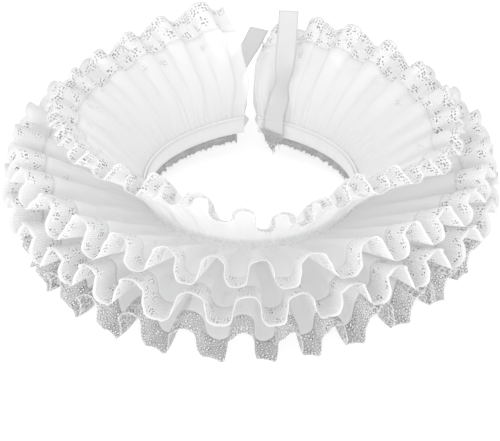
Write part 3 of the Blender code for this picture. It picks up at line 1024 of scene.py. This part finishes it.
# %% A tree for picots, the small loops that stand out from a lace edge
def make_picot_tree():
    """Rings that lie in the cloth, each with its middle just outside the edge. The line's
    outwards and facing vectors say which way that is."""
    inputs = {"Spacing": "Float", "Loop radius": "Float", "Thread radius": "Float", "Material": "Material"}
    tree, nodes, source, result = new_tree("Picots along an edge", inputs)
    spots = spots_along(nodes, source)
    turned = None
    for label, axis, pivot in (("outwards", "X", "AUTO"), ("facing", "Z", "X")):
        vector = nodes.add("GeometryNodeInputNamedAttribute", {"Name": label}, data_type="FLOAT_VECTOR")
        align = nodes.add("FunctionNodeAlignRotationToVector", axis=axis, pivot_axis=pivot)
        nodes.join(vector.outputs["Attribute"], align.inputs["Vector"])
        if turned:
            nodes.join(turned, align.inputs["Rotation"])
        turned = align.outputs[0]
    circle_inputs = {"Resolution": 7, "Radius": source["Loop radius"]}
    circle = nodes.add("GeometryNodeCurvePrimitiveCircle", circle_inputs).outputs[0]
    ring = round_thread(nodes, circle, source["Thread radius"], 3)
    aside = nodes.add("ShaderNodeCombineXYZ", {0: source["Loop radius"]}).outputs[0]
    ring = nodes.add("GeometryNodeTransform", {"Geometry": ring, "Translation": aside}).outputs[0]
    inputs = {"Points": spots.outputs[0], "Instance": ring, "Rotation": turned}
    shape = nodes.add("GeometryNodeInstanceOnPoints", inputs).outputs[0]
    finish_tree(nodes, shape, source["Material"], result)
    return tree


# %% A tree for running stitches
def make_stitch_tree():
    """Short grains of thread, end to end along a line with a gap after each."""
    inputs = {"Spacing": "Float", "Length": "Float", "Thread radius": "Float", "Material": "Material"}
    tree, nodes, source, result = new_tree("Running stitches", inputs)
    spots = spots_along(nodes, source)
    grain = nodes.add("GeometryNodeMeshUVSphere", {"Segments": 6, "Rings": 4, "Radius": 1.0}).outputs[0]
    half = nodes.math("MULTIPLY", source["Length"], 0.5)
    radius = source["Thread radius"]
    size = nodes.add("ShaderNodeCombineXYZ", {0: radius, 1: radius, 2: half}).outputs[0]
    inputs = {
        "Points": spots.outputs[0],
        "Instance": grain,
        "Rotation": spots.outputs["Rotation"],
        "Scale": size,
    }
    shape = nodes.add("GeometryNodeInstanceOnPoints", inputs).outputs[0]
    finish_tree(nodes, shape, source["Material"], result)
    return tree


# %% A tree for the threads of a frayed edge
def make_fray_tree():
    """Short bent threads that hang from a line at random, from one fixed seed."""
    inputs = {
        "Spacing": "Float",
        "Length": "Float",
        "Thread radius": "Float",
        "Seed": "Int",
        "Material": "Material",
    }
    tree, nodes, source, result = new_tree("Frayed threads", inputs)
    spots = spots_along(nodes, source)
    bend = {"Resolution": 4, "Start": (0, 0, 0.3), "Middle": (0.25, 0.1, -0.5), "End": (-0.1, -0.1, -1.0)}
    line = nodes.add("GeometryNodeCurveQuadraticBezier", bend).outputs[0]
    share = nodes.math("DIVIDE", source["Thread radius"], source["Length"])
    strand = round_thread(nodes, line, share, 3)
    most_turned = (0.7, 0.7, 3.1)
    least_turned = tuple(-v for v in most_turned)
    turned = nodes.add("FunctionNodeRandomValue", {0: least_turned, 1: most_turned}, data_type="FLOAT_VECTOR")
    nodes.join(source["Seed"], turned.inputs["Seed"])
    size = nodes.add("FunctionNodeRandomValue", {2: 0.35, 3: 1.0}, data_type="FLOAT")
    nodes.join(source["Seed"], size.inputs["Seed"])
    length = nodes.math("MULTIPLY", size.outputs[1], source["Length"])
    inputs = {"Points": spots.outputs[0], "Instance": strand, "Rotation": turned.outputs[0], "Scale": length}
    shape = nodes.add("GeometryNodeInstanceOnPoints", inputs).outputs[0]
    finish_tree(nodes, shape, source["Material"], result)
    return tree


THREAD_TREE = make_thread_tree()
PICOT_TREE = make_picot_tree()
STITCH_TREE = make_stitch_tree()
FRAY_TREE = make_fray_tree()

# %% [markdown]
# ### The edge of the lace
#
# A lace edge is finished with a slightly thicker cord, and on the open edges small picots
# stand out from it. The two bordered frills have the cord alone.

# %% Edge cords and picots
EDGE_CORD_RADII = {"top": 0.09 * MM, "second": 0.12 * MM, "third": 0.12 * MM, "bottom": 0.10 * MM}
PICOT_SPACING = 2.6 * MM
PICOT_RADIUS = 0.55 * MM


def edge_line(frill, columns_per_wave):
    """Points along the lace edge, the way out of the cloth there, and its upward side."""
    turn = even_turns(frill, columns_per_wave)
    share = edge_share(frill, turn)
    points = cloth_points(frill, turn, share, LACE_RAISED)
    outwards = points - cloth_points(frill, turn, share - 0.02, LACE_RAISED)
    facing = np.cross(np.gradient(points, axis=0), outwards)
    return points, outwards, facing


def build_edge(frill):
    points, outwards, facing = edge_line(frill, 60)
    mesh = line_mesh("edge", [points], outwards=[outwards], facing=[facing])
    pieces = [made_by(THREAD_TREE, "edge_cord_" + frill.name, mesh.copy(),
                      Radius=EDGE_CORD_RADII[frill.name], Sides=4, Material=THREAD)]
    if frill.name in ("top", "bottom"):
        pieces.append(made_by(PICOT_TREE, "picots_" + frill.name, mesh, Spacing=PICOT_SPACING,
                              Loop_radius=PICOT_RADIUS, Thread_radius=0.13 * MM, Material=THREAD))
    return pieces


edges = {frill.name: build_edge(frill) for frill in FRILLS}
print("edge pieces:", sum(len(pieces) for pieces in edges.values()))

# %% [markdown]
# ### Flowers outlined in thread
#
# The flowers of such lace are outlined with a thicker thread that stands up from the net.
# They are drawn as flat outlines in millimetres, a five-petalled flower with two leaves on a
# stem, and laid on the frill's surface along its length, each one turned a little otherwise.

# %% Flower outlines on the lace
FLOWER_SPACING = 15.0 * MM
FLOWER_SIZE = 3.1 * MM


def flower_lines():
    """The outlines of one flower, about the origin, in units of its size."""
    angle = np.linspace(0, 2 * math.pi, 31)[:-1]
    petals = 0.72 + 0.28 * np.cos(5 * angle)
    outline = np.stack((petals * np.cos(angle), petals * np.sin(angle)), axis=-1)
    few = np.linspace(0, 2 * math.pi, 9)[:-1]
    heart = 0.24 * np.stack((np.cos(few), np.sin(few)), axis=-1)
    lines = [outline, heart]
    t = np.linspace(0, 2 * math.pi, 13)[:-1]
    for side in (-1, 1):
        leaf_x = side * (1.35 + 0.42 * np.cos(t))
        leaf_y = -0.75 + 0.20 * np.sin(t) - 0.25 * np.cos(t)
        lines.append(np.stack((leaf_x, leaf_y), axis=-1))
    return lines


def build_flowers(frill, length):
    """Flower outlines in one row along the lace, alternately nearer the edge and the seam."""
    chance = np.random.default_rng(11 + FRILLS.index(frill))
    turns = even_turns(frill, COLUMNS_PER_WAVE)
    along = running_length(cloth_points(frill, turns, np.full(len(turns), 0.88)))
    lines = []
    for i in range(int(length / FLOWER_SPACING)):
        middle = (i + 0.5) * FLOWER_SPACING + chance.uniform(-2, 2) * MM
        share = 0.875 + (0.022 if i % 2 else -0.022)
        tilt = chance.uniform(-0.6, 0.6) + math.pi * (i % 2)
        size = FLOWER_SIZE * chance.uniform(0.8, 1.15)
        for line in flower_lines():
            x = line[:, 0] * math.cos(tilt) - line[:, 1] * math.sin(tilt)
            y = line[:, 0] * math.sin(tilt) + line[:, 1] * math.cos(tilt)
            turn = np.interp(middle + x * size, along, turns)
            shares = np.clip(share + y * size / FRILL_DEPTH, LACE_START, edge_share(frill, turn) - 0.01)
            lines.append(cloth_points(frill, turn, shares, LACE_RAISED + LACE_THICKNESS / 2))
    mesh = line_mesh("flowers", lines, closed=True)
    return made_by(THREAD_TREE, "flowers_" + frill.name, mesh, Radius=0.12 * MM, Sides=3, Material=THREAD)


flowers = {frill.name: build_flowers(frill, laces[frill.name][1]) for frill in FRILLS}

# %% [markdown]
# ### The seam between lace and organza
#
# The lace is sewn over the organza's edge with a narrow zigzag. A zigzag is one line that
# swings from side to side, so it needs no tree of its own.

# %% Zigzag seams
ZIGZAG_STEP = 1.3 * MM
ZIGZAG_WIDTH = 1.3 * MM


def build_seam(frill, length):
    count = int(length / ZIGZAG_STEP)
    turns = even_turns(frill, COLUMNS_PER_WAVE)
    along = running_length(cloth_points(frill, turns, np.full(len(turns), LACE_START)))
    turn = np.interp(np.linspace(0, along[-1], count), along, turns)
    swing = np.where(np.arange(count) % 2, 0.5, -0.5) * ZIGZAG_WIDTH / FRILL_DEPTH
    points = cloth_points(frill, turn, LACE_START + swing, LACE_RAISED + LACE_THICKNESS / 2)
    mesh = line_mesh("seam", [points])
    return made_by(THREAD_TREE, "seam_" + frill.name, mesh, Radius=0.07 * MM, Sides=3, Material=THREAD)


seams = {frill.name: build_seam(frill, organza[frill.name][1]) for frill in FRILLS}

# %% [markdown]
# ## The band, the tape and the heading
#
# The frills' raw edges are gathered on to a cotton band. A satin tape covers the band inside
# the neck, and the raw edges stick out below it as a frayed ruffle.

# %% Strips round the neck
RING_COLUMNS = 360


def ring_places(start):
    return start + (360 - 2 * start) * np.linspace(0, 1, RING_COLUMNS + 1)


def build_band():
    """The plain band under the tape."""
    place = ring_places(OPENINGS[0].right)[:, None]
    t = np.linspace(0, 1, 5)
    height = BAND_FOOT + (BAND_TOP - BAND_FOOT) * t + end_lift(place)
    gathered = 0.12 * MM * np.sin(GATHERS * np.radians(place)) * np.sin(math.pi * t)
    radius = BAND_RADIUS + BAND_WALL / 2 + gathered
    points = round_neck(radius, place, height)
    along = np.radians(place) * BAND_RADIUS
    return shell("band", points, along, (BAND_TOP - BAND_FOOT) * t, COTTON, BAND_WALL * 0.8)


def tape_radius(place, t):
    """The tape puckers between its two rows of stitches, more in some places."""
    angle = np.radians(place)
    pucker = np.sin(67 * angle + 2 * np.sin(9 * angle)) + 0.6 * np.sin(31 * angle + 1.0)
    return NECK_RADIUS + TAPE_WALL / 2 - (0.34 * pucker + 0.15) * MM * np.sin(math.pi * t)


def tape_points(place, t):
    height = BAND_FOOT + TAPE_MARGIN + TAPE_WIDTH * t + end_lift(place)
    return round_neck(tape_radius(place, t), place, height)


def build_tape():
    place = ring_places(OPENINGS[0].right)[:, None]
    t = np.linspace(0, 1, 7)
    along = np.radians(place) * NECK_RADIUS
    return shell("tape", tape_points(place, t), along, TAPE_WIDTH * t, TAPE, 0.4 * MM)


def build_tape_stitches():
    """Two rows of running stitches, just inside the tape's edges."""
    place = ring_places(OPENINGS[0].right + 1)
    lines = []
    for t in (0.1, 0.9):
        points = tape_points(place, np.full(place.shape, t))
        inwards = -(points - MOVED) * (1, 1, 0) / NECK_RADIUS
        lines.append(points + inwards * 0.28 * MM)
    mesh = line_mesh("tape stitches", lines)
    return made_by(STITCH_TREE, "tape_stitches", mesh, Spacing=2.8 * MM, Length=2.0 * MM,
                   Thread_radius=0.16 * MM, Material=THREAD)


# %% The gathered heading
def heading_points(place, t):
    """A ruffle that opens towards its raw edge. t is 0 under the band and 1 at that edge,
    which is cut unevenly and folded over in places."""
    angle = np.radians(place)
    phase = HEADING_GATHERS * angle * 360 / (360 - 2 * HEADING_START)
    phase = phase + 2.4 * np.sin(11 * angle) + 1.5 * np.sin(29 * angle) + 0.8 * np.sin(53 * angle + 2)
    uneven = 1 + 0.35 * np.sin(23 * angle) + 0.25 * np.sin(37 * angle + 1)
    fold = (np.sin(phase) + 0.35 * np.sin(2.3 * phase)) * uneven
    ragged = 0.6 * np.sin(41 * angle + 1) + 0.4 * np.sin(73 * angle) + 0.2 * np.sin(163 * angle + 3 * t)
    radius = NECK_RADIUS + TAPE_WALL + BAND_WALL / 2 + (0.4 + 0.5 * t) * MM * fold - 0.5 * MM * t
    depth = (HEADING_DEPTH - 0.4 * MM + 0.6 * MM * ragged) * t
    return round_neck(radius, place, BAND_FOOT - 0.2 * MM + end_lift(place) - depth)


def build_heading():
    columns = 10 * HEADING_GATHERS
    place = (HEADING_START + (360 - 2 * HEADING_START) * np.linspace(0, 1, columns + 1))[:, None]
    t = np.linspace(0, 1, 6)
    points = heading_points(place, t)
    along = running_length(points[:, -1])[:, None]
    piece = shell("heading", points, along, HEADING_DEPTH * (1 - t), SHADED_RAW_ORGANZA, ORGANZA_THICKNESS)
    edge = line_mesh("raw edge", [points[:, -1]])
    threads = made_by(FRAY_TREE, "frayed_threads", edge, Spacing=0.7 * MM, Length=2.4 * MM,
                      Thread_radius=0.09 * MM, Seed=5, Material=SHADED_RAW_ORGANZA)
    return piece, threads, float(along[-1, 0])


band = build_band()
tape = build_tape()
tape_stitches = build_tape_stitches()
heading, frayed_threads, heading_length = build_heading()
print("the heading's raw edge is", round(heading_length, 2), "m long")

# %% [markdown]
# ## The two ties
#
# Each tie is a satin ribbon. One stands up from inside the neck and then leans back, the
# other lies on the frills. The rows of each table are given places on its middle line,
# the same as the solids have, and a smooth curve through them gives the ribbon's path.

# %% The ties' middle lines
TiePoint = namedtuple("TiePoint", "radius turn height twist")
RIGHT_TIE = (
    TiePoint(67.8 * MM, 13.5, 24.2 * MM, 0),
    TiePoint(67.8 * MM, 13.5, 36.0 * MM, 0),
    TiePoint(72.8 * MM, 13.5, 39.8 * MM, 0),
    TiePoint(78.5 * MM, 14.3, 45.8 * MM, 25),
    TiePoint(84.4 * MM, 14.8, 54.2 * MM, 62),
    TiePoint(90.1 * MM, 14.8, 62.9 * MM, 40),
    TiePoint(97.6 * MM, 14.4, 74.0 * MM, 10),
    TiePoint(106.2 * MM, 13.8, 85.0 * MM, 0),
    TiePoint(115.8 * MM, 13.1, 95.8 * MM, 0),
)
LEFT_TIE = (
    TiePoint(75.3 * MM, 348.0, 33.6 * MM, 0),
    TiePoint(88.0 * MM, 350.5, 46.0 * MM, 0),
    TiePoint(102.0 * MM, 353.5, 53.0 * MM, 0),
    TiePoint(117.0 * MM, 357.0, 55.5 * MM, 0),
    TiePoint(133.0 * MM, 360.0, 57.0 * MM, 0),
    TiePoint(152.0 * MM, 362.3, 59.5 * MM, 0),
)


def smooth_through(values, per_gap):
    """A curve through rows of values, with an even pull from the rows on both sides."""
    rows = np.vstack((2 * values[0] - values[1], values, 2 * values[-1] - values[-2]))
    t = np.linspace(0, 1, per_gap, endpoint=False)[:, None]
    stretches = []
    for a, b, c, d in zip(rows, rows[1:], rows[2:], rows[3:]):
        bend = (2 * b) + (c - a) * t + (2 * a - 5 * b + 4 * c - d) * t ** 2 + (3 * b - a - 3 * c + d) * t ** 3
        stretches.append(bend / 2)
    return np.vstack(stretches + [values[-1:]])


# %% The ribbons
RIBBON_THICKNESS = 0.35 * MM
RIBBON_ROWS = 9


def build_ribbon(name, table):
    """A strip across the middle line, level from side to side where it has no twist, with
    a slight crown and a soft ripple along one edge."""
    rows = smooth_through(np.array(table), 8)
    path = round_neck(rows[:, 0], rows[:, 1], rows[:, 2])
    along = np.gradient(path, axis=0)
    along /= np.linalg.norm(along, axis=1, keepdims=True)
    angle = np.radians(rows[:, 1])
    level = np.stack((np.cos(angle), -np.sin(angle), 0 * angle), axis=-1)
    level -= along * np.sum(level * along, axis=1, keepdims=True)
    level /= np.linalg.norm(level, axis=1, keepdims=True)
    side = np.cross(along, level)
    twist = np.radians(rows[:, 3])[:, None]
    across = level * np.cos(twist) + side * np.sin(twist)
    normal = np.cross(across, along)
    t = np.linspace(-0.5, 0.5, RIBBON_ROWS)
    length = running_length(path)
    crown = 0.35 * MM * (0.25 - t ** 2) * 4
    ripple = 0.3 * MM * np.sin(length / (9 * MM))[:, None] * t
    lift = (crown + ripple)[..., None] * normal[:, None, :]
    points = path[:, None, :] + across[:, None, :] * (t * RIBBON_WIDTH)[None, :, None] + lift
    flat_across = (t + 0.5) * RIBBON_WIDTH
    piece = shell(name, points, length[:, None], flat_across, SATIN, RIBBON_THICKNESS)
    return piece, float(length[-1])


ribbon_right, right_length = build_ribbon("ribbon_right", RIGHT_TIE)
ribbon_left, left_length = build_ribbon("ribbon_left", LEFT_TIE)
print("ribbons:", round(right_length, 3), "and", round(left_length, 3), "m")

# %% [markdown]
# ## The torn net corner
#
# At the right-hand end of the tape a three-cornered bit of net hangs into the neck, with
# loose threads at its torn side. The net is a small grid that narrows to a point.

# %% Net and its loose threads
CornerPoint = namedtuple("CornerPoint", "turn radius height")
NET_CORNER = (
    CornerPoint(5.0, 66.6 * MM, 29.5 * MM),
    CornerPoint(20.5, 66.6 * MM, 23.0 * MM),
    CornerPoint(13.0, 62.5 * MM, 14.0 * MM),
)


def net_material():
    material, nodes, shader, uv = new_material("torn_net")
    net = group_of(nodes, "net", uv, Mesh_size_in_mm=1.9, Thread=0.17)["Thread"]
    nodes.join(nodes.mix(net, grey(0.12), grey(0.26)), shader.inputs["Base Color"])
    nodes.join(nodes.ramp(net, 0.0, 1.0, 0.22, 1.0), shader.inputs["Alpha"])
    shader.inputs["Roughness"].default_value = 0.8
    bumped(nodes, shader, net, 0.08 * MM)
    return material


NET = net_material()


def net_points(s, t):
    """s runs along the tape and t from the tape down to the point."""
    left, right, tip = (round_neck(p.radius, p.turn, p.height) for p in NET_CORNER)
    s, t = s[..., None], t[..., None]
    top = left + (right - left) * s
    ragged = 0.6 * MM * np.sin(9 * s * math.pi) * t
    return top + (tip - top) * t + ragged * np.array((0.3, -1.0, 0.4))


def build_net():
    s, t = np.meshgrid(np.linspace(0, 1, 15), np.linspace(0, 0.93, 12), indexing="ij")
    points = net_points(s, t)
    width = RIBBON_WIDTH * 1.3
    piece = shell("net_scrap", points, s * width * (1 - t), t * width * 0.7, NET, 0.3 * MM)
    lines = []
    chance = np.random.default_rng(23)
    for i in range(14):
        start = net_points(np.array(chance.uniform(0.05, 1.0)), np.array(chance.uniform(0.3, 0.95)))
        reach_out = np.array((chance.uniform(-3, 5), chance.uniform(-2, 1), chance.uniform(-6, -1))) * MM
        curl = np.array((chance.uniform(-2, 2), chance.uniform(-1, 1), chance.uniform(-1, 2))) * MM
        u = np.linspace(0, 1, 8)[:, None]
        lines.append(start + reach_out * u + curl * np.sin(math.pi * u))
    mesh = line_mesh("loose threads", lines)
    threads = made_by(THREAD_TREE, "net_threads", mesh, Radius=0.16 * MM, Sides=3, Material=SHADED_RAW_ORGANZA)
    return piece, threads


net_scrap, net_threads = build_net()

# %% [markdown]
# ## What each piece stands for
#
# Every cloth piece replaces its solid and rides on the one body. A frill is cut as a curved
# strip. Its outer edge is as long as its lace, and its inner edge, which is gathered on to the
# band, is 0.6 times as long.

# %% Sheets and what they replace
def dress(piece, node, with_pieces=()):
    """Hangs a cloth piece and what is sewn on it from the root body, and hides its solid."""
    for each in (piece, *with_pieces):
        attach(each, "root")
    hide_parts(node)


for frill in FRILLS:
    name = frill.name
    cloth, cloth_length, cloth_depth = organza[name]
    lace, lace_length, lace_depth = laces[name]
    trim = [*edges[name], flowers[name]]
    dress(cloth, "organza_" + name, [seams[name]])
    dress(lace, "lace_" + name, trim)

dress(band, "neck_band")
dress(tape, "neck_tape", [tape_stitches])
dress(heading, "gathered_heading", [frayed_threads])
dress(ribbon_right, "tie_right")
dress(ribbon_left, "tie_left")
dress(net_scrap, "net_corner", [net_threads])

# %% [markdown]
# ## Floor, light and camera
#
# The collar lies on a white table that glows a little, in bright, even light. A large soft
# light from above and one from low in front reach in between the frills, so the picture is
# nearly white and the shade is only in the folds. The camera looks down from the front.

# %% Floor and light
FLOOR_SIZE = 6.0
SOFTBOXES = (
    ("softbox_above", (-0.7, -0.3, 1.9), (1.5, 1.5), 6.0),
    ("softbox_in_front", (-0.1, -1.2, 0.28), (3.2, 0.5), 18.0),
)


def build_floor():
    mesh = bpy.data.meshes.new("floor")
    half = FLOOR_SIZE / 2
    corners = [(-half, -half, 0), (half, -half, 0), (half, half, 0), (-half, half, 0)]
    mesh.from_pydata(corners, [], [(0, 1, 2, 3)])
    material = bpy.data.materials.new("white_table")
    material.use_nodes = True
    shader = material.node_tree.nodes["Principled BSDF"]
    shader.inputs["Base Color"].default_value = grey(0.96)
    shader.inputs["Roughness"].default_value = 0.9
    shader.inputs["Specular IOR Level"].default_value = 0.0
    shader.inputs["Emission Color"].default_value = grey(1.0)
    shader.inputs["Emission Strength"].default_value = 0.5
    mesh.materials.append(material)
    floor = bpy.data.objects.new("floor", mesh)
    bpy.context.scene.collection.objects.link(floor)
    floor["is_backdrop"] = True


def build_light():
    world = bpy.data.worlds.new("soft_white")
    world.use_nodes = True
    world.node_tree.nodes["Background"].inputs["Color"].default_value = (1.0, 1.0, 1.0, 1.0)
    world.node_tree.nodes["Background"].inputs["Strength"].default_value = 0.9
    bpy.context.scene.world = world
    for name, place, size, power in SOFTBOXES:
        lamp = bpy.data.lights.new(name, "AREA")
        lamp.shape = "ELLIPSE"
        lamp.size, lamp.size_y = size
        lamp.energy = power
        light = bpy.data.objects.new(name, lamp)
        light.location = place
        light.rotation_euler = (-light.location).to_track_quat("-Z", "Y").to_euler()
        light.visible_camera = False
        bpy.context.scene.collection.objects.link(light)
    bpy.context.scene.view_settings.view_transform = "Standard"
    bpy.context.scene.view_settings.gamma = 1.8
    # Light passes through many layers of thin cloth and goes back and forth between them
    cycles = bpy.context.scene.cycles
    cycles.max_bounces = 20
    cycles.diffuse_bounces = 12
    cycles.transparent_max_bounces = 40


build_floor()
build_light()

# %% Camera
IMAGE_SIZE = (500, 441)
AIM = Vector((0, 0, 25 * MM))
AIM_PIXEL = (251, 186)
DISTANCE = 1.25
ELEVATION = math.radians(34)
PIXELS_PER_METRE = 1500
SENSOR = 36.0


def build_camera():
    """Seen from the front and above. AIM falls on AIM_PIXEL, a little above the middle."""
    data = bpy.data.cameras.new("camera")
    focal_pixels = PIXELS_PER_METRE * DISTANCE
    data.sensor_width = SENSOR
    data.lens = SENSOR * focal_pixels / IMAGE_SIZE[0]
    data.clip_start = 0.05
    camera = bpy.data.objects.new("camera", data)
    camera.location = AIM + DISTANCE * Vector((0, -math.cos(ELEVATION), math.sin(ELEVATION)))
    above = math.atan((IMAGE_SIZE[1] / 2 - AIM_PIXEL[1]) / focal_pixels)
    beside = math.atan((AIM_PIXEL[0] - IMAGE_SIZE[0] / 2) / focal_pixels)
    camera.rotation_euler = (math.pi / 2 - ELEVATION - above, 0, beside)
    bpy.context.scene.collection.objects.link(camera)
    bpy.context.scene.camera = camera


build_camera()

# %% Finish
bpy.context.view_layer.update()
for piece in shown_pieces():
    print(piece.name, "has", sum(len(face.vertices) - 2 for face in piece.data.polygons), "triangles")
